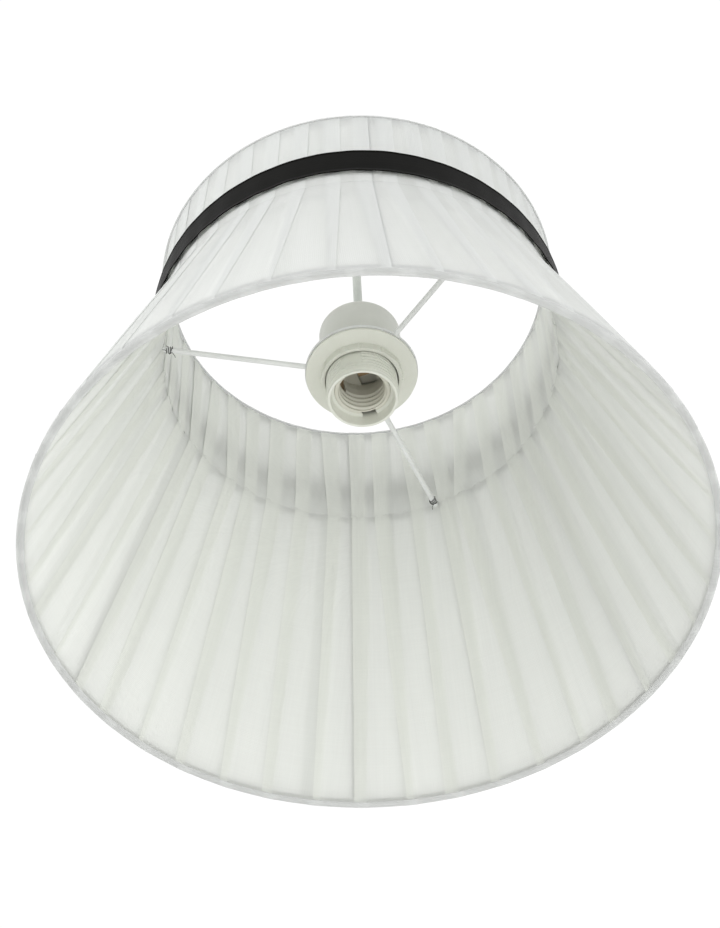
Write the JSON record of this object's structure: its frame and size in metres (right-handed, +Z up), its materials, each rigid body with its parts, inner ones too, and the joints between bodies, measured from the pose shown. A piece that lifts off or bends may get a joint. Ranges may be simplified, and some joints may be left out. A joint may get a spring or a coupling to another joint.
{
  "type": "pendant lamp shade",
  "caption": "Pleated sheer pendant shade with flared skirt, short collar and black waist ribbon, on a wire frame and spider, hung by its lampholder, cord and ceiling cup.",
  "frame": {"origin": "centre of the ceiling bracket's top face, where the pendant is screwed to the ceiling", "axes": "+Z up along the cord into the ceiling, X along the bracket's two screw holes"},
  "size_m": [0.35, 0.35, 0.378],
  "materials": {
    "white_wire": "white powder coat, satin",
    "frame_wire": "dull galvanised wire",
    "cover_sheer": "pleated sheer organza, soft sheen",
    "lining_sheer": "pleated sheer organza, matte",
    "satin_ribbon": "black satin ribbon",
    "edge_tape": "woven cotton tape",
    "lashing_thread": "waxed thread",
    "holder_plastic": "moulded cream thermoplastic, satin",
    "contact_brass": "stamped brass",
    "screw_steel": "zinc plated",
    "cord_jacket": "smooth white flexible PVC",
    "core_brown": "smooth PVC",
    "core_blue": "smooth PVC",
    "cup_plastic": "moulded white plastic, semi-gloss",
    "zinc_steel": "bright zinc"
  },
  "bodies": {
    "ceiling_fitting": {"ceiling_bracket": "zinc_steel", "ceiling_hook": "zinc_steel"},
    "pendant": {"cord_hanger": "cup_plastic", "cord": "cord_jacket", "core_live": "core_brown", "core_neutral": "core_blue", "mains_core_live": "core_brown", "mains_core_neutral": "core_blue", "terminal_block": "cup_plastic", "terminal_block_screws": "screw_steel", "holder_cap": "holder_plastic", "holder_skirt": "holder_plastic", "thread_sleeve": "holder_plastic", "contact_block": "holder_plastic", "side_contact": "contact_brass", "terminal_live": "contact_brass", "terminal_neutral": "contact_brass", "terminal_screws": "screw_steel", "cord_grip": "holder_plastic", "cord_grip_screw": "screw_steel"},
    "cup": {"ceiling_cup": "cup_plastic", "cup_grip": "cup_plastic", "cup_screw": "screw_steel"},
    "shade": {"bottom_ring": "frame_wire", "waist_ring": "frame_wire", "top_ring": "frame_wire", "strut_1": "frame_wire", "strut_2": "frame_wire", "strut_3": "frame_wire", "strut_4": "frame_wire", "strut_5": "frame_wire", "strut_6": "frame_wire", "cover_skirt": "cover_sheer", "cover_collar": "cover_sheer", "lining_skirt": "lining_sheer", "lining_collar": "lining_sheer", "waist_ribbon": "satin_ribbon", "bottom_binding": "edge_tape", "top_binding": "edge_tape", "spider_hub": "white_wire", "spider_arm_1": "white_wire", "spider_arm_2": "white_wire", "spider_arm_3": "white_wire", "arm_lashing_1": "lashing_thread", "arm_lashing_2": "lashing_thread", "arm_lashing_3": "lashing_thread"},
    "clamp_ring": {"shade_ring": "holder_plastic"},
    "contact": {"centre_contact": "contact_brass"}
  },
  "joints": [
    {"name": "pendant_swing", "type": "hinge", "parent": "ceiling_fitting", "child": "pendant", "pos_m": [0, 0, -0.017], "axis": [1, 0, 0], "range_deg": [-4, 4]},
    {"name": "cup_slide", "type": "slide", "parent": "pendant", "child": "cup", "axis": [0, 0, 1], "range_m": [-0.1, 0]},
    {"name": "shade_drop", "type": "slide", "parent": "pendant", "child": "shade", "axis": [0, 0, 1], "range_m": [-0.016, 0]},
    {"name": "ring_turn", "type": "hinge", "parent": "shade", "child": "clamp_ring", "pos_m": [0, 0, -0.222], "axis": [0, 0, 1], "range_deg": [-2305, 0]},
    {"name": "contact_press", "type": "slide", "parent": "pendant", "child": "contact", "axis": [0, 0, 1], "range_m": [0, 0.002], "stiffness_N_per_m": 1500}
  ],
  "couplings": [
    {"joint": "ring_turn", "follows": "shade_drop", "rad_per_m": 2513.3}
  ]
}
